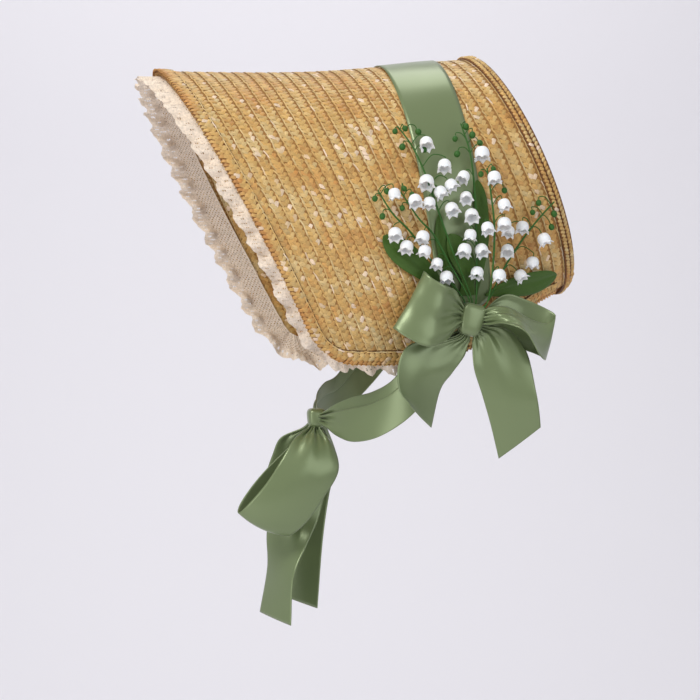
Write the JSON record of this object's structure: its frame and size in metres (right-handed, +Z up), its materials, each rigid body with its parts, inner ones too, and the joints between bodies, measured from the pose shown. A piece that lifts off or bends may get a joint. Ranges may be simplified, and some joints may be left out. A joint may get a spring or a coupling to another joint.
{
  "type": "poke bonnet",
  "caption": "Straw poke bonnet with sage satin ribbon band and side bow, lily of the valley flowers, cream lace ruffle and chin ties.",
  "frame": {"origin": "inside of the top of the crown, where the bonnet sits on the head", "axes": "+Z up, the face opening towards -Y, the side bow on +X"},
  "size_m": [0.2577, 0.3379, 0.438],
  "materials": {
    "straw": "woven",
    "straw_edge": "woven",
    "sage_satin": "satin",
    "cream_lace": "matte",
    "leaf_green": "satin",
    "bell_white": "matte"
  },
  "bodies": {
    "root": {"straw_shell": "straw", "crown_tip": "straw", "edge_braid": "straw_edge", "tip_rim_braid": "straw_edge", "lace_ruffle": "cream_lace", "ribbon_band": "sage_satin", "bow_knot": "sage_satin", "bow_loop_left": "sage_satin", "bow_loop_right": "sage_satin", "bow_tail_left": "sage_satin", "bow_tail_right": "sage_satin", "chin_knot": "sage_satin", "chin_loop_near": "sage_satin", "chin_loop_far": "sage_satin", "chin_tail_near": "sage_satin", "chin_tail_far": "sage_satin", "chin_tie_near": "sage_satin", "chin_tie_far": "sage_satin", "leaf_left": "leaf_green", "leaf_narrow": "leaf_green", "leaf_centre": "leaf_green", "leaf_middle": "leaf_green", "leaf_right": "leaf_green", "lily_sprig_1": "bell_white", "lily_sprig_2": "bell_white", "lily_sprig_3": "bell_white", "lily_sprig_4": "bell_white", "lily_sprig_5": "bell_white", "lily_sprig_6": "bell_white"}
  },
  "joints": []
}
